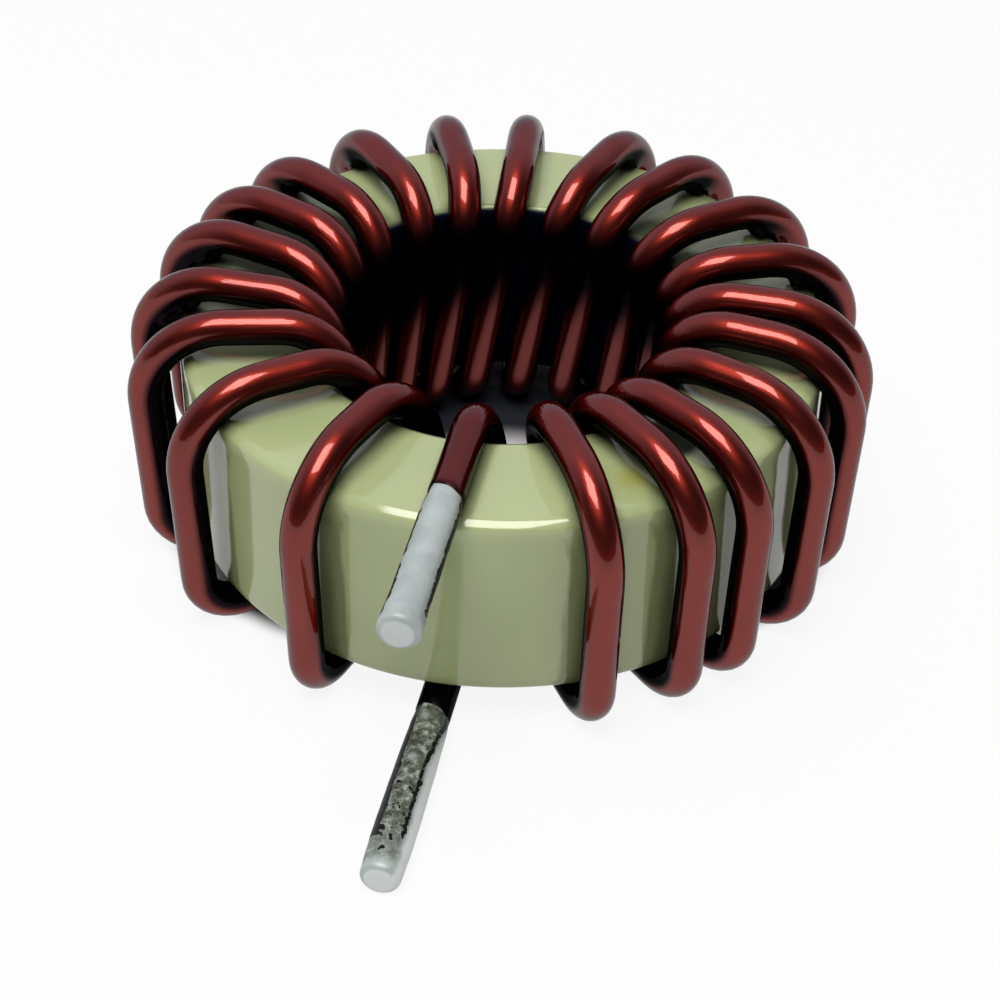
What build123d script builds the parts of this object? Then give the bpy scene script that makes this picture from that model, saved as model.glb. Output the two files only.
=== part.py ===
import os
from math import asin, degrees, pi, sqrt

from build123d import *

os.makedirs("parts", exist_ok=True)

# Ring core, sizes over its coat, in millimetres
core_outer_diameter = 33.0
core_wall = 6.55
core_height = 10.7
core_edge_radius = 0.8

# Enamelled wire, and how far its runs stand off the faces of the core
wire_diameter = 1.8
shoulder_standoff = 0.9
foot_standoff = 0.4
top_standoff = 0.85
hole_standoff = 0.35
upper_lead_standoff = 0.2
seat_clearance = 0.1
turn_clearance = 0.06

# Tinned ends of the wire: above, the enamel stops inside the core's rim, and below, it runs past it
tinned_diameter = 1.76
scrape_depth = 0.05
scrape_length = 1.1
tip_rounding = 0.5
upper_enamel_setback = 0.45
lower_enamel_overhang = 0.65
upper_tinned_length = 9.3
lower_tinned_length = 11.05

# Angles about the ring's axis, in degrees from the front, anticlockwise seen from above
upper_lead_angle = -7
lead_heading_angle = -11
first_turn_angle = 16
strand_lean_angle = 15

# Free room after each strand, at the top and the foot of the hole, and after each run up the outer wall
strand_top_gap_shares = [6, 1, 1, 7, 7, 2, 2, 8, 8, 5, 5, 3, 4, 6, 4, 7, 7, 2, 5, 6, 12]
strand_foot_gap_shares = [6, 1, 1, 7, 7, 2, 2, 8, 8, 5, 5, 3, 4, 6, 4, 7, 7, 2, 5, 13, 5]
outer_gap_shares = [9, 5, 10, 9, 5, 12, 12, 13, 10, 15, 10, 12, 11, 7, 6, 10, 9, 14, 20, 41]

# How much of the shoulder's standoff each run up the outer wall bows out beyond it
outer_slack_shares = [0, 0, 0, 0, 0, 0, 0, 0, 0, 0, 0.1, 0.2, 0.3, 0.3, 0.3, 0.3, 0.3, 0.3, 0.1, 0]

# Levels, from the plane that the winding rests on, and radii of the wire's centre line
wire_radius = wire_diameter / 2
core_outer_radius = core_outer_diameter / 2
core_inner_radius = core_outer_radius - core_wall
core_floor = wire_diameter + seat_clearance
core_top = core_floor + core_height
bottom_run_height = wire_radius
top_run_height = core_top + top_standoff + wire_radius
upper_lead_height = core_top + upper_lead_standoff + wire_radius
shoulder_radius = core_outer_radius + shoulder_standoff + wire_radius
foot_radius = core_outer_radius + foot_standoff + wire_radius
hole_run_radius = core_inner_radius - hole_standoff - wire_radius


# A bend that bears on the core's rounded edge while the runs beside it stand off two of its faces
def bend_over_edge(side_standoff, face_standoff):
    side_room = side_standoff - seat_clearance
    face_room = face_standoff - seat_clearance
    edge_reach = core_edge_radius + seat_clearance + wire_radius
    return edge_reach + side_room + face_room + sqrt(2 * side_room * face_room)


# The angle that one wire takes up, with its clearance, among others that stand side by side round the ring
def width_angle(run_radius):
    return 2 * degrees(asin((wire_diameter + turn_clearance) / (2 * run_radius)))


# Places round the ring, a wire's width apart and then by their shares of the free room
def spread_round(first_angle, run_radius, gap_shares):
    free_angle = 360 - width_angle(run_radius) * len(gap_shares)
    angles = [first_angle]
    for gap_share in gap_shares[:-1]:
        angles.append(angles[-1] + width_angle(run_radius) + free_angle * gap_share / sum(gap_shares))
    return angles


def ring_point(run_radius, angle, height):
    return Vector(0, -run_radius, height).rotate(Axis.Z, angle)


# The outer runs lean out as they rise, and pass the core's top edge before they reach the shoulder
edge_height_share = (core_top - core_edge_radius - bottom_run_height) / (top_run_height - bottom_run_height)
edge_standoff = foot_standoff + (shoulder_standoff - foot_standoff) * edge_height_share

shoulder_bend = bend_over_edge(edge_standoff, top_standoff)
foot_bend = bend_over_edge(foot_standoff, seat_clearance)
hole_rim_bend = bend_over_edge(hole_standoff, top_standoff)
hole_foot_bend = bend_over_edge(hole_standoff, seat_clearance)
upper_lead_bend = bend_over_edge(hole_standoff, upper_lead_standoff)

# A full winding, or as many turns as find room for their strands and the upper lead's in the hole
strand_count = min(len(strand_top_gap_shares), int(360 / width_angle(hole_run_radius)))
turn_count = strand_count - 1

first_foot_angle = upper_lead_angle + strand_lean_angle
strand_top_angles = spread_round(upper_lead_angle, hole_run_radius, strand_top_gap_shares[-strand_count:])
strand_foot_angles = spread_round(first_foot_angle, hole_run_radius, strand_foot_gap_shares[-strand_count:])
outer_angles = spread_round(first_turn_angle, foot_radius, outer_gap_shares[-turn_count:])

# The wire's corners and their bends: down the hole from the upper lead, then up, over and down each turn
upper_entry = ring_point(hole_run_radius, upper_lead_angle, upper_lead_height)
corners = [upper_entry, ring_point(hole_run_radius, strand_foot_angles[0], bottom_run_height)]
bends = [upper_lead_bend, hole_foot_bend]
for outer_angle, slack_share, strand_top_angle, strand_foot_angle in zip(
    outer_angles, outer_slack_shares[-turn_count:], strand_top_angles[1:], strand_foot_angles[1:]
):
    outer_slack = shoulder_standoff * slack_share
    corners.append(ring_point(foot_radius + outer_slack, outer_angle, bottom_run_height))
    corners.append(ring_point(shoulder_radius + outer_slack, outer_angle, top_run_height))
    corners.append(ring_point(hole_run_radius, strand_top_angle, top_run_height))
    corners.append(ring_point(hole_run_radius, strand_foot_angle, bottom_run_height))
    bends += [foot_bend, shoulder_bend, hole_rim_bend, hole_foot_bend]

# Both leads run straight out to the front, the enamel to about the rim of the core
lead_direction = Vector(0, -1, 0).rotate(Axis.Z, lead_heading_angle)
rim_reach = core_outer_radius - hole_run_radius
upper_enamel_end = upper_entry + lead_direction * (rim_reach - upper_enamel_setback)
lower_enamel_end = corners[-1] + lead_direction * (rim_reach + lower_enamel_overhang)

# Ring core with its coat
with BuildPart() as coated_core:
    with BuildSketch(Plane.XZ):
        with Locations((core_outer_radius - core_wall / 2, core_floor + core_height / 2)):
            RectangleRounded(core_wall, core_height, core_edge_radius)
    revolve(axis=Axis.Z)
coated_core.part.label = "coated_core"
export_step(coated_core.part, "parts/coated_core.step")

# Winding, one wire from the upper lead to the lower one
with BuildPart() as winding:
    with BuildLine() as wire_route:
        FilletPolyline(upper_enamel_end, *corners, lower_enamel_end, radius=bends)
    with BuildSketch(Plane(origin=wire_route.line @ 0, z_dir=wire_route.line % 0)):
        Circle(wire_radius)
    sweep()
winding.part.label = "winding"
export_step(winding.part, "parts/winding.step")

# Tinned ends at the top and foot of the ring, scraped thin next to the enamel, with rounded tips
for end_name, enamel_end, tinned_length in [
    ("upper_tinned_end", upper_enamel_end, upper_tinned_length),
    ("lower_tinned_end", lower_enamel_end, lower_tinned_length),
]:
    with BuildPart() as tinned_end:
        with BuildSketch(Plane(origin=enamel_end, z_dir=lead_direction)):
            Circle(tinned_diameter / 2)
        extrude(amount=tinned_length)
        tip_edge, root_edge = tinned_end.edges().filter_by(GeomType.CIRCLE).sort_by(Axis.Y)
        root_face = tinned_end.faces().sort_by(Axis.Y)[-1]
        chamfer(root_edge, length=scrape_depth, length2=scrape_length, reference=root_face)
        fillet(tip_edge, radius=tip_rounding)
    tinned_end.part.label = end_name
    export_step(tinned_end.part, f"parts/{end_name}.step")

wire_length = wire_route.wire().length
print("bend radii", [round(bend, 2) for bend in bends[:6]])
print("wire length", round(wire_length, 2))
print("section times length", round(pi * wire_radius**2 * wire_length, 2))
print("winding volume", round(winding.part.volume, 2))
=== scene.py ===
import math

import bpy
import numpy as np
from mathutils import Matrix, Vector


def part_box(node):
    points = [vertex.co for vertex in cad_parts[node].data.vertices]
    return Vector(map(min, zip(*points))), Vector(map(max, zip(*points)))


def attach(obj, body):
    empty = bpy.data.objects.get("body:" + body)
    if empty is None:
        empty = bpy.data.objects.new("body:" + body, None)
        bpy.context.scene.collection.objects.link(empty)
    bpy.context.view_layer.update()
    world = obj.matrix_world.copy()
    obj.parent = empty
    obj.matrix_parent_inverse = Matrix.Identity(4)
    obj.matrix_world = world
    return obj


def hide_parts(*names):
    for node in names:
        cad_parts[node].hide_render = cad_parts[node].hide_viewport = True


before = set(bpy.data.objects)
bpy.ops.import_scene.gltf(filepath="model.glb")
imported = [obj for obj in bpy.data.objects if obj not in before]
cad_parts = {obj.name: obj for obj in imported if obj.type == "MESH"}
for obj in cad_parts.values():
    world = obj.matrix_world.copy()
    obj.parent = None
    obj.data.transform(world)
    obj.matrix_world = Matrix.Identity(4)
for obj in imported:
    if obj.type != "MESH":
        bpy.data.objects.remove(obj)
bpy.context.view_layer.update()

mm = 0.001
coreLow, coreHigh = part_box("coated_core")
print("frame loaded, core", [round(v / mm, 2) for v in coreHigh - coreLow], "mm")


# Mesh from a grid of points, rows along the piece and columns around it.
# Columns always close on themselves. Rows either close too, or end in one pole point at each end.
# The UV map holds the row's own measure and the turn around, both without a jump at the seam.
# Marks are shares painted on the points, one grid each, that the materials read by name.
def gridMesh(name, points, rowMeasure, closedRows=False, poles=None, marks=None):
    rows, columns = points.shape[:2]
    vertices = points.reshape(-1, 3)
    rowCount = rows if closedRows else rows - 1
    i, j = np.meshgrid(np.arange(rowCount), np.arange(columns), indexing="ij")
    nextI, nextJ = (i + 1) % rows, (j + 1) % columns
    quads = np.stack([i * columns + j, i * columns + nextJ, nextI * columns + nextJ, nextI * columns + j], -1)
    quads = quads.reshape(-1, 4)
    cornerRow = np.stack([i, i, i + 1, i + 1], -1).reshape(-1)
    cornerColumn = np.stack([j, j + 1, j + 1, j], -1).reshape(-1)
    faceCorners = quads.reshape(-1)
    faceSizes = np.full(len(quads), 4)
    if poles is not None:
        first, last = len(vertices), len(vertices) + 1
        vertices = np.concatenate([vertices, poles])
        ring = np.arange(columns)
        ringNext = (ring + 1) % columns
        tail = (rows - 1) * columns
        startFan = np.stack([np.full(columns, first), ringNext, ring], -1)
        endFan = np.stack([np.full(columns, last), tail + ring, tail + ringNext], -1)
        faceCorners = np.concatenate([faceCorners, startFan.reshape(-1), endFan.reshape(-1)])
        faceSizes = np.concatenate([faceSizes, np.full(2 * columns, 3)])
        cornerRow = np.concatenate([cornerRow, np.zeros(3 * columns, int), np.full(3 * columns, rows - 1)])
        fanColumns = np.stack([ring, ring + 1, ring], -1).reshape(-1)
        cornerColumn = np.concatenate([cornerColumn, fanColumns, fanColumns])
    mesh = bpy.data.meshes.new(name)
    mesh.vertices.add(len(vertices))
    mesh.vertices.foreach_set("co", np.ascontiguousarray(vertices, np.float32).reshape(-1))
    mesh.loops.add(len(faceCorners))
    mesh.loops.foreach_set("vertex_index", faceCorners.astype(np.int32))
    mesh.polygons.add(len(faceSizes))
    starts = np.concatenate([[0], np.cumsum(faceSizes)[:-1]])
    mesh.polygons.foreach_set("loop_start", starts.astype(np.int32))
    mesh.polygons.foreach_set("use_smooth", np.ones(len(faceSizes), bool))
    mesh.update(calc_edges=True)
    measure = np.append(rowMeasure, 2 * rowMeasure[-1] - rowMeasure[-2])
    uv = np.stack([measure[cornerRow], cornerColumn / columns], -1)
    mesh.uv_layers.new(name="surface").data.foreach_set("uv", uv.astype(np.float32).reshape(-1))
    for markName, mark in (marks or {}).items():
        mark = np.broadcast_to(mark, (rows, columns))
        shares = np.zeros(len(vertices), np.float32)
        shares[:rows * columns] = mark.reshape(-1)
        if poles is not None:
            shares[first], shares[last] = mark[[0, -1]].mean(1)
        mesh.attributes.new(markName, "FLOAT", "POINT").data.foreach_set("value", shares)
    mesh.validate()
    piece = bpy.data.objects.new(name, mesh)
    bpy.context.scene.collection.objects.link(piece)
    return piece


def finishPiece(piece, material, node):
    piece.data.materials.append(material)
    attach(piece, "root")
    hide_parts(node)
    triangles = sum(len(face.vertices) - 2 for face in piece.data.polygons)
    print(piece.name, "made,", triangles, "triangles")


# Smooth unevenness of a closed surface: a sum of sine waves with whole turns around and free waves along.
def unevenness(along, around, seed, waves, longest, turnsAround):
    rng = np.random.default_rng(seed)
    total = np.zeros(np.broadcast(along, around).shape)
    for wave in range(waves):
        length = longest / (1 + wave * rng.uniform(0.5, 1.0))
        turns = rng.integers(0, turnsAround + 1)
        total += np.sin(2 * np.pi * (along / length + rng.random()) + turns * around) / (1 + 0.5 * wave)
    return total / np.sqrt(waves)


# Share that rises smoothly from 0 to 1 between two values, or falls where the first is the larger.
def rampShare(value, zeroAt, oneAt):
    share = np.clip((value - zeroAt) / (oneAt - zeroAt), 0, 1)
    return share * share * (3 - 2 * share)


# Small helper for node trees: makes a node, sets its sockets by name and links sources into them.
def addNode(tree, kind, inputs=None, **settings):
    node = tree.nodes.new(kind)
    for key, value in settings.items():
        setattr(node, key, value)
    for key, value in (inputs or {}).items():
        if isinstance(value, bpy.types.NodeSocket):
            tree.links.new(value, node.inputs[key])
        else:
            node.inputs[key].default_value = value
    return node


def newMaterial(name):
    material = bpy.data.materials.new(name)
    material.use_nodes = True
    tree = material.node_tree
    return material, tree, tree.nodes["Principled BSDF"]


def addMath(tree, operation, *values):
    return addNode(tree, "ShaderNodeMath", dict(enumerate(values)), operation=operation).outputs["Value"]


def addNoise(tree, place, settings):
    return addNode(tree, "ShaderNodeTexNoise", {"Vector": place, **settings}).outputs["Fac"]


def addBump(tree, height, settings):
    return addNode(tree, "ShaderNodeBump", {"Height": height, **settings}).outputs["Normal"]


# Distance of a place from the origin.
def addLength(tree, place):
    return addNode(tree, "ShaderNodeVectorMath", {0: place}, operation="LENGTH").outputs["Value"]


# A value carried over from one range to another, evenly or with soft ends.
def mapRange(tree, value, fromRange, toRange=(0, 1), curve="LINEAR"):
    ranges = {"From Min": fromRange[0], "From Max": fromRange[1], "To Min": toRange[0], "To Max": toRange[1]}
    node = addNode(tree, "ShaderNodeMapRange", {"Value": value, **ranges}, interpolation_type=curve)
    return node.outputs["Result"]


# Share painted on the points.
def readMark(tree, markName):
    return addNode(tree, "ShaderNodeAttribute", attribute_name=markName).outputs["Fac"]


# Mix of two colours by a share. Each colour is a socket or a plain value.
def mixColours(tree, share, plain, other):
    mix = addNode(tree, "ShaderNodeMix", data_type="RGBA")
    tree.links.new(share, mix.inputs[0])
    for socket, colour in ((mix.inputs[6], plain), (mix.inputs[7], other)):
        if isinstance(colour, bpy.types.NodeSocket):
            tree.links.new(colour, socket)
        else:
            socket.default_value = (*colour, 1)
    return mix.outputs[2]


# Colour ramp between stops, at places from 0 to 1.
def addRamp(tree, factor, places, colours):
    ramp = addNode(tree, "ShaderNodeValToRGB", {"Fac": factor})
    elements = ramp.color_ramp.elements
    while len(elements) < len(places):
        elements.new(0.5)
    for element, place, colour in zip(elements, places, colours):
        element.position = place
        element.color = (*colour, 1)
    return ramp.outputs["Color"]


# Sizes of the ring core over its coat, in millimetres, that the wire's line follows too.
# A pair is a range that a share rises or falls across.
coreSettings = {
    "wall": 6.55,
    "edgeRadius": 0.8,
    "around": 640,
    "perCorner": 26,
    "cornerLength": 1.25,
    "cornerPlaces": [0, 0.40, 0.58, 0.92, 1],
    "cornerTurns": [0, 0.13, 0.535, 0.745, 1],
    "perFlat": 12,
    "swell": 0.02,
    "swellStretch": 0.5,
    "swellWaves": {"seed": 3, "waves": 6, "longest": 1.3, "turnsAround": 4},
    "wallDepth": (0.5, 1.9),
    "wallShades": [(0.62, (1.28, 1.12)), (0.33, (0.95, 0.60))],
    "topShade": (0.55, (1.0, 0.4)),
    "narrowReach": (6.3, 5.3),
    "narrowSideways": (0.54, 0.66),
    "narrowBackwards": (-3.5, 0.5),
    "narrowShare": 0.8,
    "darkPatchPlace": (8.3, -9.6),
    "darkPatchSpread": (3.2, 1.4),
    "darkPatchShare": 0.9,
    "stainPlace": (6.4, -12.7),
    "stainSpread": 0.9,
    "speckPlace": (3.25, -16.2, 6.3),
    "speckSpread": 0.03,
    "speckShare": 0.8,
    "holeShadeDepth": (0.5, 0.15),
    "cloudNoise": {"Scale": 120, "Detail": 3},
    "cloudPlaces": (0.35, 0.65),
    "coatColours": [(0.368, 0.436, 0.218), (0.403, 0.472, 0.242)],
    # colours of the marks: a stain, painted shade beside the wires, painted shade in the narrow gaps together with a
    # dark patch, and painted shade in the hole
    "markColours": {
        "stain": (0.33, 0.33, 0.09),
        "shade": (0.12, 0.13, 0.06),
        "gap": (0.018, 0.021, 0.016),
        "holeShade": (0.0012, 0.006, 0.018),
    },
    "refraction": 1.6,
    "roughness": (0.10, 0.75),
    "peelNoise": {"Scale": 500, "Detail": 2},
    "peelBump": {"Strength": 0.06, "Distance": 0.0002},
}

# Winding: one wire, up the outer wall, over the top, down the hole and back under the core, turn after turn.
windingSettings = {
    "wireDiameter": 1.8,
    "shoulderStandoff": 0.9,
    "footStandoff": 0.4,
    "topStandoff": 0.85,
    "holeStandoff": 0.35,
    "upperLeadStandoff": 0.2,
    "seatClearance": 0.1,
    "turnClearance": 0.06,
    "upperEnamelSetback": 0.45,
    "lowerEnamelOverhang": 0.65,
    "upperLeadAngle": -7,
    "leadHeadingAngle": -11,
    "firstTurnAngle": 16,
    "strandLeanAngle": 15,
    "strandTopGaps": [6, 1, 1, 7, 7, 2, 2, 8, 8, 5, 5, 3, 4, 6, 4, 7, 7, 2, 5, 6, 12],
    "strandFootGaps": [6, 1, 1, 7, 7, 2, 2, 8, 8, 5, 5, 3, 4, 6, 4, 7, 7, 2, 5, 13, 5],
    "outerGaps": [9, 5, 10, 9, 5, 12, 12, 13, 10, 15, 10, 12, 11, 7, 6, 10, 9, 14, 20, 41],
    "outerSlack": [0, 0, 0, 0, 0, 0, 0, 0, 0, 0, 0.1, 0.2, 0.3, 0.3, 0.3, 0.3, 0.3, 0.3, 0.1, 0],
    "perArc": 33,
    "reachStep": 0.8,
    "stationStep": 0.42,
    "columns": 44,
    "cutLength": 0.05,
    "cutDepth": 0.03,
    "ragged": 0.10,
    "raggedWaves": {"seed": 11, "waves": 5, "longest": 1.0, "turnsAround": 6},
    "slant": 0.25,
    "lowerReach": 0.3,
    "raggedFade": 0.6,
    "shadeFillShare": 0.9,
    "shadeFillGap": (0.62, 0.38),
    "shadeFillRadius": (14.4, 15.4),
    "shadeFillDepth": (1.2, 0.4),
    "shadeFillBackwards": (-3.0, 0.0),
    "shadeFillFacing": (-0.2, -0.9),
    "holeDepth": (0.4, 1.0),
    "turnShadeFacing": (0.40, -0.10),
    "strandFacing": (0.50, 0.32),
    "strandHeight": (13.8, 12.5),
    "darkHeight": (6.5, 9.5),
    "darkTop": (13.6, 12.0),
    "darkLean": 1.5,
    "backRunBackwards": (5.0, 11.0),
    "backRunRadius": (16.0, 17.5),
    "backRunLight": 0.85,
    "cutDarkShare": 0.85,
    "cutDarkLength": (0.45, 0.2),
    "stubLength": (4.0, 2.5),
    "dullLeadShare": 0.28,
    "dullLeadLength": (6.5, 4.5),
    "cloudNoise": {"Scale": 350, "Detail": 4},
    "cloudPlaces": (0.3, 0.7),
    "enamelColours": [(0.174, 0.0152, 0.0098), (0.208, 0.0204, 0.0127)],
    "paintedShadeColour": (0.007, 0.0045, 0.0075),
    "edgeTint": (0.14, 0.06, 0.065),
    "roughness": (0.31, 0.40),
    "coatWeights": (0.72, 0.06),
    "coatRoughness": 0.03,
    "coatRefraction": 1.5,
    "rippleNoise": {"Scale": 260, "Detail": 1},
    "rippleBump": {"Strength": 0.05, "Distance": 0.0003},
    "lineStretch": 90.0,
    "lineNoise": {"Scale": 4.5, "Detail": 3},
    "lineBump": {"Strength": 0.35, "Distance": 0.00003},
}


# Places round the ring: each a wire's width after the last, plus its part of the free room.
def spreadRound(firstAngle, runRadius, gaps, settings):
    gaps = np.array(gaps, float)
    width = 2 * np.degrees(np.arcsin((settings["wireDiameter"] + settings["turnClearance"]) / (2 * runRadius)))
    free = 360 - width * len(gaps)
    return firstAngle + np.concatenate([[0], np.cumsum(width + free * gaps[:-1] / gaps.sum())])


# Points at radii from the ring's axis and one height, at angles from the front.
def ringPoints(runRadius, angles, height):
    turn = np.radians(np.atleast_1d(angles))
    return np.stack([runRadius * np.sin(turn), -runRadius * np.cos(turn), np.full(len(turn), float(height))], -1)


# Line of the wire's middle: straight runs between corners, each corner a tangent arc of its own radius.
def wireLine(settings):
    outer, high = coreHigh.x / mm, coreHigh.z / mm
    half, seat, edge = settings["wireDiameter"] / 2, settings["seatClearance"], coreSettings["edgeRadius"]
    holeRadius = outer - coreSettings["wall"] - settings["holeStandoff"] - half
    footRadius = outer + settings["footStandoff"] + half
    shoulderRadius = outer + settings["shoulderStandoff"] + half
    runTop = high + settings["topStandoff"] + half
    leadTop = high + settings["upperLeadStandoff"] + half

    # a bend that bears on the core's rounded edge between two runs that stand off its faces
    def bendOver(sideStandoff, faceStandoff):
        side, face = sideStandoff - seat, faceStandoff - seat
        return edge + seat + half + side + face + math.sqrt(2 * side * face)

    edgeShare = (high - edge - half) / (runTop - half)
    edgeStandoff = settings["footStandoff"] + (settings["shoulderStandoff"] - settings["footStandoff"]) * edgeShare
    tops = spreadRound(settings["upperLeadAngle"], holeRadius, settings["strandTopGaps"], settings)
    firstFoot = settings["upperLeadAngle"] + settings["strandLeanAngle"]
    feet = spreadRound(firstFoot, holeRadius, settings["strandFootGaps"], settings)
    outers = spreadRound(settings["firstTurnAngle"], footRadius, settings["outerGaps"], settings)
    slack = settings["shoulderStandoff"] * np.array(settings["outerSlack"])
    turns = np.stack([
        ringPoints(footRadius + slack, outers, half),
        ringPoints(shoulderRadius + slack, outers, runTop),
        ringPoints(holeRadius, tops[1:], runTop),
        ringPoints(holeRadius, feet[1:], half),
    ], 1).reshape(-1, 3)
    entry = np.concatenate([ringPoints(holeRadius, tops[0], leadTop), ringPoints(holeRadius, feet[0], half)])
    corners = np.concatenate([entry, turns])
    turnBends = [
        bendOver(settings["footStandoff"], seat),
        bendOver(edgeStandoff, settings["topStandoff"]),
        bendOver(settings["holeStandoff"], settings["topStandoff"]),
        bendOver(settings["holeStandoff"], seat),
    ]
    entryBends = [bendOver(settings["holeStandoff"], settings["upperLeadStandoff"]), turnBends[-1]]
    bends = np.concatenate([entryBends, np.tile(turnBends, len(outers))])
    heading = math.radians(settings["leadHeadingAngle"])
    leadWay = np.array([math.sin(heading), -math.cos(heading), 0])
    rimReach = outer - holeRadius
    upperEnd = corners[0] + leadWay * (rimReach - settings["upperEnamelSetback"])
    lowerEnd = corners[-1] + leadWay * (rimReach + settings["lowerEnamelOverhang"])

    ways = np.diff(np.concatenate([[upperEnd], corners, [lowerEnd]]), axis=0)
    ways /= np.linalg.norm(ways, axis=1, keepdims=True)
    wayIn, wayOut = ways[:-1], ways[1:]
    cosine = (wayIn * wayOut).sum(1, keepdims=True)
    turn = np.arccos(cosine)
    inwards = wayOut - cosine * wayIn
    inwards /= np.linalg.norm(inwards, axis=1, keepdims=True)
    radius = bends[:, None]
    arcStart = corners - wayIn * radius * np.tan(turn / 2)
    angle = turn[:, :, None] * np.linspace(0, 1, settings["perArc"])[None, :, None]
    reached = np.sin(angle) * wayIn[:, None] + (1 - np.cos(angle)) * inwards[:, None]
    arcs = arcStart[:, None] + radius[:, None] * reached
    line = np.concatenate([[upperEnd], arcs.reshape(-1, 3), [lowerEnd]])
    return line, upperEnd, lowerEnd, leadWay


# The same line, read at even steps along its length.
def evenSteps(line, step):
    length = np.concatenate([[0], np.cumsum(np.linalg.norm(np.diff(line, axis=0), axis=1))])
    stations = np.linspace(0, length[-1], int(math.ceil(length[-1] / step)) + 1)
    return np.stack([np.interp(stations, length, line[:, axis]) for axis in range(3)], -1), stations


# The upper lead with its two corners, and each turn apart: four corners a turn, each an arc of as many points.
def turnLines(line, perArc):
    arcs = line[1:-1].reshape(-1, perArc, 3)
    return [line[:2 * perArc + 1], *arcs[2:].reshape(-1, 4 * perArc, 3)]


wireMiddle, upperEnd, lowerEnd, leadWay = wireLine(windingSettings)
print("wire's line made,", len(wireMiddle), "points")


# Section of the core: a rectangle with rounded corners, in radius and height.
# Each corner turns a quarter from the wall to the face, slowly where the coat lies nearly flat over the edge.
# Its points are the running sum of its directions, and the flats between the corners are divided evenly.
def coreSection(settings):
    outer, low, high = coreHigh.x / mm, coreLow.z / mm, coreHigh.z / mm
    inner = outer - settings["wall"]
    share = np.linspace(0, 1, settings["perCorner"])
    heading = np.pi / 2 * np.interp(share, settings["cornerPlaces"], settings["cornerTurns"])
    walk = np.stack([-np.sin(heading), np.cos(heading)], -1) * settings["cornerLength"] / (len(share) - 1)
    walk = np.concatenate([[[0, 0]], np.cumsum((walk[1:] + walk[:-1]) / 2, axis=0)])
    depth, rise = np.abs(walk[-1])
    bend = walk + np.array([depth, 0])
    centres = [
        (outer - depth, low + rise),
        (outer - depth, high - rise),
        (inner + depth, high - rise),
        (inner + depth, low + rise),
    ]
    corners = []
    for corner, (middleR, middleZ) in enumerate(centres):
        turn = (corner - 1) * np.pi / 2
        across, along = (bend if corner % 2 else bend[::-1, ::-1]).T
        corners.append(np.stack([
            middleR + across * np.cos(turn) - along * np.sin(turn),
            middleZ + across * np.sin(turn) + along * np.cos(turn),
        ], -1))
    flatShare = np.linspace(0, 1, settings["perFlat"] + 2)[1:-1, None]
    pieces = []
    for corner in range(4):
        a, b = corners[corner][-1], corners[(corner + 1) % 4][0]
        pieces += [corners[corner], a + (b - a) * flatShare]
    return np.concatenate(pieces), rise


# Least distance from each point to each turn's line, and of these the two smallest.
def reachToTurns(points, settings):
    runs = [evenSteps(run, settings["reachStep"])[0] for run in turnLines(wireMiddle, settings["perArc"])]
    starts = np.concatenate([[0], np.cumsum([len(run) for run in runs])[:-1]])
    stations = np.concatenate(runs)

    def nearestTwo(row):
        distances = np.linalg.norm(row[:, None] - stations[None], axis=2)
        return np.partition(np.minimum.reduceat(distances, starts, axis=1), 1, axis=1)[:, :2]

    return np.stack([nearestTwo(row) for row in points])


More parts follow.
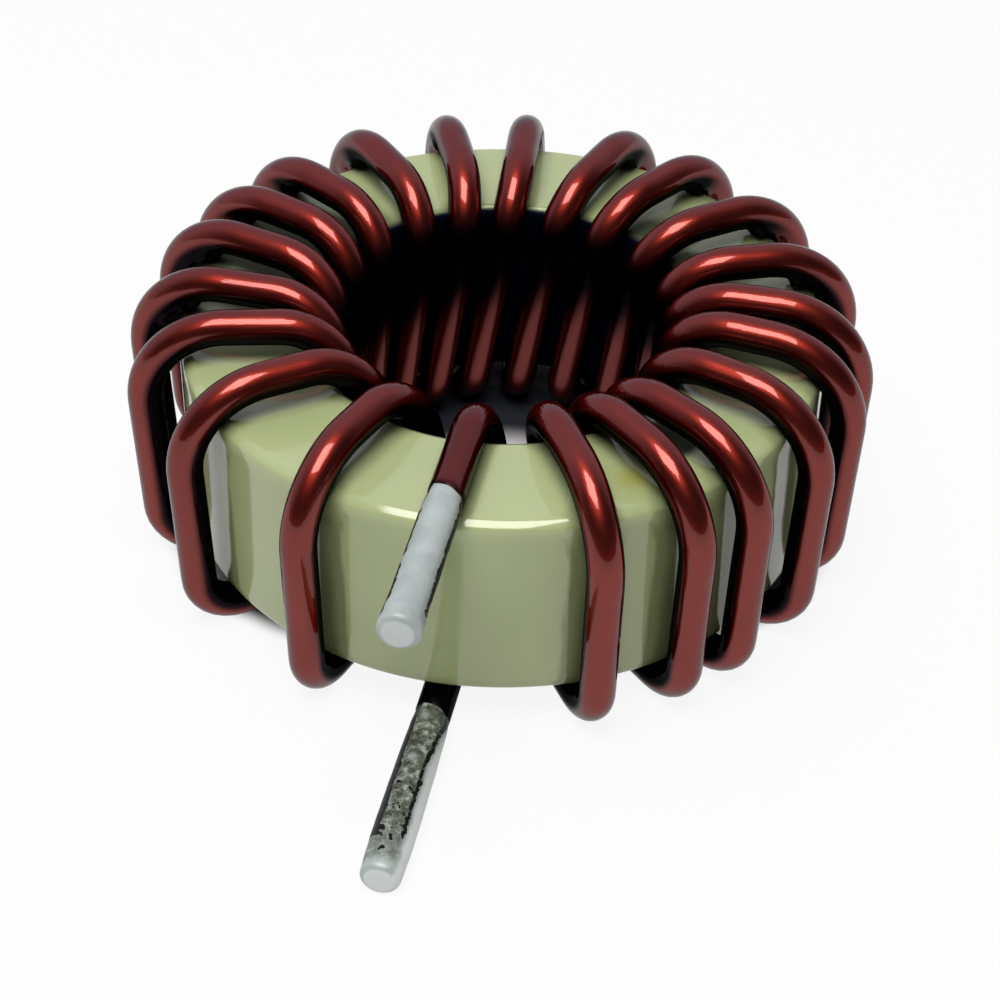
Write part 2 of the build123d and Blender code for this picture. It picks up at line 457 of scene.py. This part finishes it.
# Ring core: its section, a little uneven, carried round the ring's axis.
def makeCore(settings):
    outer, high = coreHigh.x / mm, coreHigh.z / mm
    inner, edge = outer - settings["wall"], settings["edgeRadius"]
    section, rise = coreSection(settings)
    around = np.linspace(0, 2 * np.pi, settings["around"], endpoint=False)
    steps = np.linalg.norm(np.roll(section, -1, 0) - section, axis=1)
    measure = np.concatenate([[0], np.cumsum(steps)[:-1]])
    middle = section.mean(0)
    outwards = (section - middle) / np.linalg.norm(section - middle, axis=1, keepdims=True)
    turn = 2 * np.pi * measure[:, None] / measure[-1]
    swell = settings["swell"] * unevenness(around[None, :] * settings["swellStretch"], turn, **settings["swellWaves"])
    radius = section[:, :1] + outwards[:, :1] * swell
    height = section[:, 1:] + outwards[:, 1:] * swell
    points = np.stack([radius * np.cos(around), radius * np.sin(around), height + 0 * around], -1)
    reach = reachToTurns(points, windingSettings)
    room = reach[..., 0] - windingSettings["wireDiameter"] / 2

    # narrow gaps between turns at both sides of the ring, where little light gets in
    narrow = rampShare(reach.sum(2), *settings["narrowReach"])
    narrow = narrow * rampShare(np.abs(np.cos(around))[None, :], *settings["narrowSideways"])
    narrow = narrow * rampShare(points[..., 1], *settings["narrowBackwards"]) * (section[:, 1:] > high - rise)
    # shade beside the wires: crisp on the outer wall, soft on the top
    onWall = rampShare(high - section[:, 1:], *settings["wallDepth"]) * (section[:, :1] > middle[0])
    crisp = sum(share * rampShare(room, *rooms) for share, rooms in settings["wallShades"])
    softShare, softRooms = settings["topShade"]
    shade = onWall * crisp + (1 - onWall) * softShare * rampShare(room, *softRooms)

    # round marks that fade out by the square of the distance from their middle
    def squares(place):
        return ((points[..., :len(place)] - np.array(place)) ** 2).sum(2)

    stain = np.exp(-squares((*settings["stainPlace"], high)) / settings["stainSpread"])
    # a dark patch on the top at the front right, in the same mark as the painted shade of the narrow gaps
    darkPatch = rampShare(squares(settings["darkPatchPlace"]), *settings["darkPatchSpread"]) * (section[:, 1:] > high - edge)
    speck = np.exp(-squares(settings["speckPlace"]) / settings["speckSpread"])
    # painted shade inside the hole: near black on the inner wall and the inner part of its rounded edges
    holeShade = rampShare(section[:, :1] - inner, *settings["holeShadeDepth"]) + 0 * around
    # rows run round the section outwards and up, so the columns run clockwise to face outwards
    marks = {
        "shade": np.maximum(shade, settings["speckShare"] * speck)[:, ::-1],
        "holeShade": holeShade[:, ::-1],
        "gap": np.maximum(settings["narrowShare"] * narrow, settings["darkPatchShare"] * darkPatch)[:, ::-1],
        "stain": stain[:, ::-1],
    }
    return gridMesh("ring_core", points[:, ::-1] * mm, measure * mm, closedRows=True, marks=marks)


# Glossy epoxy coat: pale olive with faint clouds, painted shade beside the wires and inside the hole, and a fine
# ripple.
def makeCoat(settings):
    material, tree, shader = newMaterial("olive_epoxy_coat")
    place = addNode(tree, "ShaderNodeTexCoord").outputs["Object"]
    clouds = addNoise(tree, place, settings["cloudNoise"])
    colour = addRamp(tree, clouds, settings["cloudPlaces"], settings["coatColours"])
    for markName, marked in settings["markColours"].items():
        colour = mixColours(tree, readMark(tree, markName), colour, marked)
    tree.links.new(colour, shader.inputs["Base Color"])
    shader.inputs["IOR"].default_value = settings["refraction"]
    # dull and metallic where it is dark, as a plain gloss would turn these places grey
    dark = addMath(tree, "MAXIMUM", readMark(tree, "holeShade"), readMark(tree, "gap"))
    tree.links.new(mapRange(tree, dark, (0, 1), settings["roughness"]), shader.inputs["Roughness"])
    tree.links.new(dark, shader.inputs["Metallic"])
    peel = addNoise(tree, place, settings["peelNoise"])
    tree.links.new(addBump(tree, peel, settings["peelBump"]), shader.inputs["Normal"])
    return material


core = makeCore(coreSettings)
finishPiece(core, makeCoat(coreSettings), "coated_core")


# Across each station of the line: the way from the core's middle ring to the wire, square to the line, and its side.
def crossWays(line):
    along = np.gradient(line, axis=0)
    along /= np.linalg.norm(along, axis=1, keepdims=True)
    middleRadius = coreHigh.x / mm - coreSettings["wall"] / 2
    middleHeight = (coreLow.z + coreHigh.z) / 2 / mm
    flat = line[:, :2] / np.linalg.norm(line[:, :2], axis=1, keepdims=True) * middleRadius
    middle = np.concatenate([flat, np.full((len(line), 1), middleHeight)], 1)
    out = line - middle
    out -= (out * along).sum(1, keepdims=True) * along
    out /= np.linalg.norm(out, axis=1, keepdims=True)
    return along, out, np.cross(along, out)


# Free gap between the wire and the core at each station: the distance from the wire's middle
# to the core's rounded section, less half the wire.
def gapToCore(points, runRadius, settings):
    edge, low, high = coreSettings["edgeRadius"], coreLow.z / mm, coreHigh.z / mm
    middleRadius = coreHigh.x / mm - coreSettings["wall"] / 2
    fromMiddle = np.concatenate([runRadius - middleRadius, points[:, 2:] - (low + high) / 2], 1)
    beyond = np.abs(fromMiddle) - np.array([coreSettings["wall"], high - low]) / 2 + edge
    return (np.linalg.norm(np.maximum(beyond, 0), axis=1, keepdims=True) - edge) - settings["wireDiameter"] / 2


# Tube: at each station a circle of the wire's radius, across the line.
# At both ends the enamel is cut ragged and aslant, and rounds off into the tin.
# Painted shade darkens the sides that face the core and the neighbouring turns, and the strands high up in the hole.
def makeWinding(settings, line):
    points, stations = evenSteps(line, settings["stationStep"])
    # one more station close to each end keeps the cut's edge sharp
    cut = settings["cutLength"]
    close = np.concatenate([[0, cut], stations[1:-1], [stations[-1] - cut, stations[-1]]])
    points = np.stack([np.interp(close, stations, points[:, axis]) for axis in range(3)], -1)
    stations = close
    along, out, side = crossWays(points)
    around = np.linspace(0, 2 * np.pi, settings["columns"], endpoint=False)
    facing = np.cos(around)[None, :]
    fromEnd = np.minimum(stations, stations[-1] - stations)[:, None]
    outwards = np.where(stations < stations[-1] / 2, -1.0, 1.0)[:, None]
    waves = unevenness(0 * fromEnd, around[None, :], **settings["raggedWaves"])
    ragged = settings["ragged"] * waves + settings["slant"] * np.sin(around)[None, :]
    ragged = (ragged + settings["lowerReach"] * (outwards > 0)) * np.exp(-fromEnd / settings["raggedFade"])
    radius = settings["wireDiameter"] / 2 * (1 - settings["cutDepth"] * (fromEnd == 0)) + 0 * around
    circle = np.cos(around)[None, :, None] * out[:, None] + np.sin(around)[None, :, None] * side[:, None]
    height, backwards = points[:, 2:], points[:, 1:2]
    runRadius = np.linalg.norm(points[:, :2], axis=1, keepdims=True)

    # set a dark fill under the shoulders at the back, standing in for shade: it is drawn into the narrow part of the
    # gap between wire and core, where the side that faces the core reaches most of the way to it
    free = gapToCore(points, runRadius, settings)
    shoulder = rampShare(runRadius, *settings["shadeFillRadius"])
    shoulder = shoulder * rampShare(coreHigh.z / mm - height, *settings["shadeFillDepth"])
    shoulder = shoulder * rampShare(backwards, *settings["shadeFillBackwards"])
    shadeFill = settings["shadeFillShare"] * np.clip(free, 0, 1) * rampShare(free, *settings["shadeFillGap"])
    radius = radius + shadeFill * shoulder * rampShare(facing, *settings["shadeFillFacing"])
    tube = points[:, None] + radius[..., None] * circle + (outwards * ragged)[..., None] * along[:, None]

    # painted shade on the sides that face the core and the neighbouring turns, less on the runs at the back, and on
    # the strands high up in the hole
    backRun = rampShare(backwards, *settings["backRunBackwards"]) * rampShare(runRadius, *settings["backRunRadius"])
    turnShade = rampShare(facing, *settings["turnShadeFacing"]) * (1 - settings["backRunLight"] * backRun)
    leaning = height + settings["darkLean"] * np.sin(around)[None, :]
    highUp = rampShare(leaning, *settings["darkHeight"]) * rampShare(height, *settings["darkTop"])
    strandShade = np.maximum(rampShare(facing, *settings["strandFacing"]), highUp)
    holeRadius = coreHigh.x / mm - coreSettings["wall"]
    inHole = rampShare(holeRadius - runRadius, *settings["holeDepth"])
    inHole = inHole * rampShare(height, *settings["strandHeight"])
    paintedShade = turnShade + (strandShade - turnShade) * inHole
    # near black beside the cut, and painted shade along all of the short stub under the core
    cutDark = settings["cutDarkShare"] * rampShare(fromEnd, *settings["cutDarkLength"])
    cutDark = np.maximum(cutDark, rampShare(stations[-1] - stations, *settings["stubLength"])[:, None])
    paintedShade = np.maximum(paintedShade, cutDark)
    # the upper lead is duller than the turns
    dullLead = settings["dullLeadShare"] * rampShare(stations, *settings["dullLeadLength"])[:, None]
    paintedShade = np.maximum(paintedShade, dullLead)
    return gridMesh("wound_wire", tube * mm, stations * mm, poles=points[[0, -1]] * mm, marks={"paintedShade": paintedShade})


# Enamelled copper: red-brown metal with painted shade towards its edges, under a clear glossy skin.
def makeEnamel(settings):
    material, tree, shader = newMaterial("red_enamel_on_copper")
    place = addNode(tree, "ShaderNodeTexCoord").outputs["Object"]
    clouds = addNoise(tree, place, settings["cloudNoise"])
    colour = addRamp(tree, clouds, settings["cloudPlaces"], settings["enamelColours"])
    # painted shade darkens the colour and thins the clear skin
    paintedShade = readMark(tree, "paintedShade")
    colour = mixColours(tree, paintedShade, colour, settings["paintedShadeColour"])
    tree.links.new(colour, shader.inputs["Base Color"])
    shader.inputs["Metallic"].default_value = 1.0
    shader.inputs["Specular Tint"].default_value = (*settings["edgeTint"], 1)
    tree.links.new(mapRange(tree, clouds, (0, 1), settings["roughness"]), shader.inputs["Roughness"])
    tree.links.new(mapRange(tree, paintedShade, (0, 1), settings["coatWeights"]), shader.inputs["Coat Weight"])
    ripple = addBump(tree, addNoise(tree, place, settings["rippleNoise"]), settings["rippleBump"])
    # drawing marks along the wire: noise on the length and on a circle for the turn around, so that it has no seam
    surface = addNode(tree, "ShaderNodeUVMap", uv_map="surface").outputs["UV"]
    surface = addNode(tree, "ShaderNodeSeparateXYZ", {"Vector": surface})
    length = addMath(tree, "MULTIPLY", surface.outputs["X"], settings["lineStretch"])
    turn = addMath(tree, "MULTIPLY", surface.outputs["Y"], 2 * math.pi)
    onCircle = {"X": length, "Y": addMath(tree, "COSINE", turn), "Z": addMath(tree, "SINE", turn)}
    drawn = addNode(tree, "ShaderNodeCombineXYZ", onCircle).outputs["Vector"]
    lines = addNoise(tree, drawn, settings["lineNoise"])
    normal = addBump(tree, lines, {**settings["lineBump"], "Normal": ripple})
    tree.links.new(normal, shader.inputs["Normal"])
    tree.links.new(normal, shader.inputs["Coat Normal"])
    shader.inputs["Coat Roughness"].default_value = settings["coatRoughness"]
    shader.inputs["Coat IOR"].default_value = settings["coatRefraction"]
    return material


winding = makeWinding(windingSettings, wireMiddle)
finishPiece(winding, makeEnamel(windingSettings), "winding")


# Tinned ends: straight, scraped thin where the enamel stops, lumpy with solder, and swelling to a rounded tip.
# Places across an end run from 1 at its left to -1 at its right, and a spot is (along, across, size squared).
tinSettings = {
    "diameter": 1.76,
    "neckDepth": 0.05,
    "neckLength": 1.1,
    "tipRounding": 0.34,
    "rootInside": 0.6,
    "rowsPerLength": 10,
    "tipRows": 14,
    "faceRows": 8,
    "columns": 96,
    "lump": 0.014,
    "crustHeight": (-0.3, 0.05),
    "cleanLength": (0.35, 0.9),
    "faceRadius": (0.95, 0.75),
    "upper": {
        "length": 9.3,
        "swelling": [(0.0, 0.0), (1.0, 0.06), (7.2, 0.08), (8.3, 0.14), (9.3, 0.16)],
        "lumpWaves": {"seed": 21, "waves": 9, "longest": 7.0, "turnsAround": 3},
        "faceShine": 0.58,
        "waver": {"waves": 12, "longest": 2.6, "turnsAround": 0},
        "waverSeeds": (31, 32),
        "leftWaver": 0.09,
        "leftEdge": (0.72, 0.82),
        "leftBreaks": [(1.4, 0.25), (4.9, 0.3)],
        "rightWaver": 0.04,
        "rightEdge": (0.88, 0.96),
        "rightLength": (8.6, 7.6),
        "dullShare": 0.4,
        "dullEdge": (0.70, 0.95),
    },
    "lower": {
        "length": 11.05,
        "swelling": [(0.0, 0.0), (1.0, 0.06), (4.0, 0.13), (8.5, 0.19), (10.0, 0.14), (11.05, 0.08)],
        "lumpWaves": {"seed": 22, "waves": 9, "longest": 7.0, "turnsAround": 3},
        "faceShine": 0.9,
        "waver": {"waves": 22, "longest": 2.4, "turnsAround": 0},
        "waverSeeds": (41, 42, 43),
        "leftWaver": 0.11,
        "leftDrift": 0.012,
        "leftEdge": (0.56, 0.68),
        "leftLength": (9.3, 8.6),
        "bandStart": -0.93,
        "bandDrift": 0.36,
        "bandDriftLength": (0.3, 4.5),
        "bandWaver": 0.06,
        "bandWidth": (0.15, 0.04),
        "bandShare": 0.85,
        "bandLength": (9.6, 8.6),
        "streakWaves": {"seed": 44, "waves": 9, "longest": 1.1, "turnsAround": 2},
        "streakTurn": 2.5,
        "streakCut": (0.45, 0.95),
        "streakShare": 0.5,
        "streakStart": (4.0, 6.0),
        "streakEnd": (9.8, 9.0),
        "fleckSeed": 45,
        "fleckCount": 44,
        "fleckRanges": [(5.5, 10.0), (-0.5, 0.6), (0.003, 0.012)],
        "lightSpots": [(1.1, 0.2, 0.05), (4.0, 0.08, 0.06), (5.6, 0.35, 0.03)],
        "lightShare": 0.8,
        "dullEdge": (-0.2, 0.05),
        "dullShares": (0.7, 0.3),
        "dullLength": (9.9, 8.0),
        "floorReflectionShare": 0.8,
        "floorReflectionEdge": (-0.08, -0.28),
        "floorReflectionLength": (0.8, 2.0),
    },
    "cloudNoise": {"Scale": 700, "Detail": 3},
    "cloudPlaces": (0.35, 0.6),
    "tinColours": [(0.365, 0.425, 0.415), (0.445, 0.505, 0.495)],
    "grainNoise": {"Scale": 2600, "Detail": 6, "Roughness": 0.68},
    "grainPlaces": (0.38, 0.52, 0.66),
    "dullColours": [(0.055, 0.066, 0.054), (0.16, 0.19, 0.155), (0.50, 0.54, 0.50)],
    "paintedSheenColour": (0.74, 0.80, 0.79),
    "darkMarkColour": (0.010, 0.012, 0.011),
    "flakeNoise": {"Scale": 2600, "Detail": 4, "Roughness": 0.6},
    "flakeRange": (0.3, 0.7),
    "flakeShift": (-0.6, 0.42),
    "flakeCut": (0.46, 0.58),
    "metallic": 0.25,
    "specular": 0.08,
    "roughness": (0.36, 0.55),
    "grainBump": {"Strength": 0.3, "Distance": 0.0001},
}


# Round spots on the unrolled end, each falling off by the square of the distance.
def spots(distance, across, places):
    return np.clip(sum(np.exp(-((distance - d) ** 2 + (across - a) ** 2) / size) for d, a, size in places), 0, 1)


# Dark marks high on both sides of the upper end, broken in two places on its left, and dull tin beside it.
def upperCrust(distance, across, settings):
    waver = [unevenness(distance, 0 * distance, seed, **settings["waver"]) for seed in settings["waverSeeds"]]
    breaks = sum(np.exp(-((distance - place) / width) ** 2) for place, width in settings["leftBreaks"])
    left = rampShare(across - settings["leftWaver"] * waver[0], *settings["leftEdge"]) * (1 - np.clip(breaks, 0, 1))
    right = rampShare(-across - settings["rightWaver"] * waver[1], *settings["rightEdge"])
    right = right * rampShare(distance, *settings["rightLength"])
    dull = settings["dullShare"] * rampShare(np.abs(across), *settings["dullEdge"]) + 0 * distance
    return left + right, dull, 0 * dull


# Crust on the lower end: a left edge, a ragged band that drifts from the right to the middle, streaks and specks.
# Left of the band the tin is dull, with a few lighter spots, and right of it lighter with a painted reflection of the
# white floor.
def lowerCrust(distance, across, settings):
    waver = [unevenness(distance, 0 * distance, seed, **settings["waver"]) for seed in settings["waverSeeds"]]
    leftPlace = across - settings["leftWaver"] * waver[0] + settings["leftDrift"] * distance
    left = rampShare(leftPlace, *settings["leftEdge"]) * rampShare(distance, *settings["leftLength"])
    drift = settings["bandDrift"] * rampShare(distance, *settings["bandDriftLength"])
    middle = settings["bandStart"] + drift + settings["bandWaver"] * waver[1]
    widest, narrowest = settings["bandWidth"]
    band = rampShare(np.abs(across - middle), widest + settings["bandWaver"] * waver[2], narrowest)
    band = settings["bandShare"] * band * rampShare(distance, *settings["bandLength"])
    streaks = unevenness(distance, settings["streakTurn"] * across, **settings["streakWaves"])
    streaks = rampShare(streaks, *settings["streakCut"]) * rampShare(distance, *settings["streakStart"])
    streaks = settings["streakShare"] * streaks * rampShare(distance, *settings["streakEnd"]) * (across > middle)
    rng = np.random.default_rng(settings["fleckSeed"])
    flecks = np.stack([rng.uniform(*limits, settings["fleckCount"]) for limits in settings["fleckRanges"]], -1)
    specks = spots(distance, across, flecks)
    lights = spots(distance, across, settings["lightSpots"])
    most, rest = settings["dullShares"]
    dull = rampShare(across - middle, *settings["dullEdge"])
    dull = dull * (most + rest * rampShare(distance, *settings["dullLength"]))
    dull = dull * (1 - settings["lightShare"] * lights)
    floorReflection = settings["floorReflectionShare"] * rampShare(across - middle, *settings["floorReflectionEdge"])
    floorReflection = floorReflection * rampShare(distance, *settings["floorReflectionLength"])
    return left + band + specks + streaks, dull, floorReflection


# One end: circles along the wire's way, a quarter round at the tip and a flat face, thickened by the solder.
def makeTinnedEnd(name, root, crust, own, settings):
    half, tip, length = settings["diameter"] / 2, settings["tipRounding"], own["length"]
    straight = np.linspace(-settings["rootInside"], length - tip, int(length * settings["rowsPerLength"]))
    neck = settings["neckDepth"] * np.clip(1 - straight / settings["neckLength"], 0, 1)
    quarter = np.linspace(0, np.pi / 2, settings["tipRows"])[1:]
    face = np.linspace(half - tip, 0, settings["faceRows"])[1:-1]
    distance = np.concatenate([straight, length - tip + tip * np.sin(quarter), np.full(len(face), length)])
    radius = np.concatenate([half - neck, half - tip + tip * np.cos(quarter), face])
    # the solder's thickness, read between a few places along the end
    radius = radius * (1 + np.interp(distance, *np.transpose(own["swelling"])))
    around = np.linspace(0, 2 * np.pi, settings["columns"], endpoint=False)[::-1]
    lumps = unevenness(distance[:, None], around[None, :], **own["lumpWaves"])
    radius = radius[:, None] * (1 + settings["lump"] * lumps)
    up = np.array([0.0, 0.0, 1.0])
    side = np.cross(leadWay, up)
    circle = np.cos(around)[:, None] * up + np.sin(around)[:, None] * side
    # around turns back from up to the left of the way out, to face outwards, and nothing sinks into the floor
    points = root + distance[:, None, None] * leadWay + radius[..., None] * circle
    points[..., 2] = np.maximum(points[..., 2], 0)
    poles = np.stack([root + distance[0] * leadWay, root + length * leadWay])
    darkMark, dull, floorReflection = crust(distance[:, None], np.sin(around)[None, :], own)
    darkMark = np.clip(darkMark, 0, 1) * rampShare(np.cos(around)[None, :], *settings["crustHeight"])
    clean = rampShare(length - distance, *settings["cleanLength"])[:, None]
    onFace = rampShare(radius.mean(1) / half, *settings["faceRadius"])[:, None] * (distance > length / 2)[:, None]
    # the tip mark is a painted sheen on the tip's face, and on the lower end also a painted reflection of the floor
    marks = {"darkMark": darkMark * clean, "dull": dull * clean, "tip": np.maximum(own["faceShine"] * onFace, floorReflection)}
    return gridMesh(name, points * mm, distance * mm, poles=poles * mm, marks=marks)


# Dipped tin: pale grey with clouds, speckled where it is dull, a painted sheen at the tip and a painted reflection of
# the floor on the lower end, black where the crust and dark marks are.
def makeTin(settings):
    material, tree, shader = newMaterial("dipped_tin")
    place = addNode(tree, "ShaderNodeTexCoord").outputs["Object"]
    clouds = addNoise(tree, place, settings["cloudNoise"])
    colour = addRamp(tree, clouds, settings["cloudPlaces"], settings["tinColours"])
    grains = addNoise(tree, place, settings["grainNoise"])
    speckled = addRamp(tree, grains, settings["grainPlaces"], settings["dullColours"])
    colour = mixColours(tree, readMark(tree, "tip"), colour, settings["paintedSheenColour"])
    colour = mixColours(tree, readMark(tree, "dull"), colour, speckled)
    # the crust breaks up along its edges: its share is shifted by flakes before it is cut off
    flakes = addNoise(tree, place, settings["flakeNoise"])
    shift = mapRange(tree, flakes, settings["flakeRange"], settings["flakeShift"])
    broken = addMath(tree, "ADD", readMark(tree, "darkMark"), shift)
    colour = mixColours(tree, mapRange(tree, broken, settings["flakeCut"]), colour, settings["darkMarkColour"])
    tree.links.new(colour, shader.inputs["Base Color"])
    shader.inputs["Metallic"].default_value = settings["metallic"]
    shader.inputs["Specular IOR Level"].default_value = settings["specular"]
    tree.links.new(mapRange(tree, grains, (0, 1), settings["roughness"]), shader.inputs["Roughness"])
    tree.links.new(addBump(tree, grains, settings["grainBump"]), shader.inputs["Normal"])
    return material


tin = makeTin(tinSettings)
upperTin = makeTinnedEnd("upper_tinned_lead", upperEnd, upperCrust, tinSettings["upper"], tinSettings)
finishPiece(upperTin, tin, "upper_tinned_end")
lowerTin = makeTinnedEnd("lower_tinned_lead", lowerEnd, lowerCrust, tinSettings["lower"], tinSettings)
finishPiece(lowerTin, tin, "lower_tinned_end")


# Studio, in metres: a white floor, a tent of soft light that is darker on the camera's side,
# and one softbox above the camera.
studioSettings = {
    "floorSize": 3.0,
    "floorColour": (0.74, 0.74, 0.74),
    "floorGlow": 0.90,
    "floorRoughness": 0.9,
    "floorSpecular": 0.1,
    "holeColour": (0.68, 0.67, 0.71),
    "holeFade": (0.0045, 0.0072),
    "shadowColour": (0.015, 0.018, 0.026),
    "underColour": (0.22, 0.22, 0.23),
    "underFade": (0.0105, 0.0135),
    "ovalScale": (0.7, 1, 1),
    "ovalShift": (0, -0.0007, 0),
    "ovalFade": (0.0128, 0.0141),
    "openFade": (0.0160, 0.0182),
    "tentRadius": 1.2,
    "tentFoot": -0.3,
    "tentFootPole": -0.5,
    "tentRows": 30,
    "tentColumns": 64,
    "tentColour": (0.88, 0.86, 1.0),
    "tentStrengths": (0.07, 0.80),
    "tentWay": (-0.25, 1, 0),
    "tentFade": (-0.35, 0.6),
    "boxColour": (1.0, 0.96, 0.90),
    "boxPlace": (-0.030, -0.092, 0.30),
    "boxAim": (0, 0, 0.013),
    "boxSize": (0.19, 0.18),
    "boxRadiance": 9.3,
}


# White paper with painted shadow under the ring, deepest at the strands' feet.
# Light falls on it in the hole's middle.
# Outside a long oval that reaches to the feet of the turns at the sides but not at the front, it opens and the
# painted shadow ends.
def makePaper(settings):
    paper, tree, shader = newMaterial("white_paper")
    place = addNode(tree, "ShaderNodeTexCoord").outputs["Object"]
    distance = addLength(tree, place)
    scaled = {0: place, 1: settings["ovalScale"], 2: settings["ovalShift"]}
    oval = addNode(tree, "ShaderNodeVectorMath", scaled, operation="MULTIPLY_ADD").outputs["Vector"]
    outside = mapRange(tree, addLength(tree, oval), settings["ovalFade"], curve="SMOOTHSTEP")
    beyond = mapRange(tree, distance, settings["openFade"], curve="SMOOTHSTEP")
    clear = addMath(tree, "MAXIMUM", outside, beyond)
    # painted shadow: from the hole's middle the paper darkens to near black at the strands' feet, and further out
    # under the core it is painted grey
    footwards = mapRange(tree, distance, settings["holeFade"], curve="SMOOTHSTEP")
    colour = addRamp(tree, footwards, (0, 1), (settings["holeColour"], settings["shadowColour"]))
    colour = mixColours(tree, mapRange(tree, distance, settings["underFade"]), colour, settings["underColour"])
    colour = mixColours(tree, clear, colour, settings["floorColour"])
    tree.links.new(colour, shader.inputs["Base Color"])
    shader.inputs["Roughness"].default_value = settings["floorRoughness"]
    shader.inputs["Specular IOR Level"].default_value = settings["floorSpecular"]
    # seen by the camera, in a mirror or through glass, the open floor is mostly plain white
    rays = addNode(tree, "ShaderNodeLightPath").outputs
    seen = addMath(tree, "ADD", rays["Is Camera Ray"], rays["Is Glossy Ray"])
    seen = addMath(tree, "ADD", seen, rays["Is Transmission Ray"])
    factor = addMath(tree, "MULTIPLY", seen, mapRange(tree, clear, (0, 1), (0, settings["floorGlow"])))
    white = addNode(tree, "ShaderNodeEmission", {"Color": (1, 1, 1, 1), "Strength": 1.0}).outputs["Emission"]
    both = addNode(tree, "ShaderNodeMixShader", {0: factor, 1: shader.outputs["BSDF"], 2: white})
    tree.links.new(both.outputs["Shader"], tree.nodes["Material Output"].inputs["Surface"])
    return paper


def makeFloor(settings):
    half = settings["floorSize"] / 2
    floorMesh = bpy.data.meshes.new("floor")
    corners = [(-half, -half, 0), (half, -half, 0), (half, half, 0), (-half, half, 0)]
    floorMesh.from_pydata(corners, [], [(0, 1, 2, 3)])
    floor = bpy.data.objects.new("floor", floorMesh)
    bpy.context.scene.collection.objects.link(floor)
    floorMesh.materials.append(makePaper(settings))


# Tent: a sphere cut off a little below the floor, brighter to the back and a little to the left.
def makeTent(settings):
    size = settings["tentRadius"]
    rise = np.linspace(settings["tentFoot"], np.pi / 2, settings["tentRows"])[:-1]
    around = np.linspace(0, 2 * np.pi, settings["tentColumns"], endpoint=False)
    ring = np.cos(rise)[:, None] * np.ones(len(around))
    points = np.stack([ring * np.cos(around), ring * np.sin(around), np.sin(rise)[:, None] + 0 * around], -1) * size
    poles = np.array([[0, 0, settings["tentFootPole"] * size], [0, 0, size]])
    tent = gridMesh("light_tent", points, rise, poles=poles)
    cloth, tree = newMaterial("tent_cloth")[:2]
    place = addNode(tree, "ShaderNodeTexCoord").outputs["Object"]
    way = addNode(tree, "ShaderNodeVectorMath", {0: place, 1: settings["tentWay"]}, operation="DOT_PRODUCT")
    fade = [share * size for share in settings["tentFade"]]
    strength = mapRange(tree, way.outputs["Value"], fade, settings["tentStrengths"], curve="SMOOTHSTEP")
    glow = addNode(tree, "ShaderNodeEmission", {"Color": (*settings["tentColour"], 1), "Strength": strength})
    tree.links.new(glow.outputs["Emission"], tree.nodes["Material Output"].inputs["Surface"])
    cloth.cycles.emission_sampling = "NONE"
    tent.data.materials.append(cloth)
    tent.visible_camera = False
    tent.visible_shadow = False


def makeLights(settings):
    world = bpy.data.worlds.new("white_room")
    world.use_nodes = True
    world.node_tree.nodes["Background"].inputs["Color"].default_value = (1, 1, 1, 1)
    bpy.context.scene.world = world
    lamp = bpy.data.lights.new("softbox", "AREA")
    lamp.shape = "RECTANGLE"
    lamp.color = settings["boxColour"]
    lamp.size, lamp.size_y = settings["boxSize"]
    lamp.energy = settings["boxRadiance"] * math.pi * lamp.size * lamp.size_y
    softbox = bpy.data.objects.new("softbox", lamp)
    place = Vector(settings["boxPlace"])
    softbox.location = place
    softbox.rotation_euler = (place - Vector(settings["boxAim"])).to_track_quat("Z", "Y").to_euler()
    bpy.context.scene.collection.objects.link(softbox)
    print("studio made, lamp", round(lamp.energy, 3), "W")


makeFloor(studioSettings)
makeTent(studioSettings)
makeLights(studioSettings)


# Camera at the photograph's view: looking down on the ring from the front, slightly rolled.
cameraSettings = {
    "aim": (0.033, 0.0, 0.322),
    "distance": 130.93,
    "elevation": 40.11,
    "roll": 1.26,
    "sensor": 36,
    "lens": 86.79,
    "clipStart": 0.005,
}


def makeCamera(settings):
    camera = bpy.data.cameras.new("camera")
    camera.sensor_width = settings["sensor"]
    camera.lens = settings["lens"]
    camera.clip_start = settings["clipStart"]
    rise, roll = math.radians(settings["elevation"]), math.radians(settings["roll"])
    back = Vector((0, -math.cos(rise), math.sin(rise)))
    level, steep = Vector((1, 0, 0)), Vector((0, math.sin(rise), math.cos(rise)))
    right = level * math.cos(roll) + steep * math.sin(roll)
    up = steep * math.cos(roll) - level * math.sin(roll)
    turn = Matrix((right, up, back)).transposed().to_4x4()
    spot = Vector(settings["aim"]) * mm + back * settings["distance"] * mm
    holder = bpy.data.objects.new("camera", camera)
    holder.matrix_world = Matrix.Translation(spot) @ turn
    bpy.context.scene.collection.objects.link(holder)
    bpy.context.scene.camera = holder


makeCamera(cameraSettings)
bpy.context.scene.view_settings.view_transform = "Standard"

bpy.context.view_layer.update()
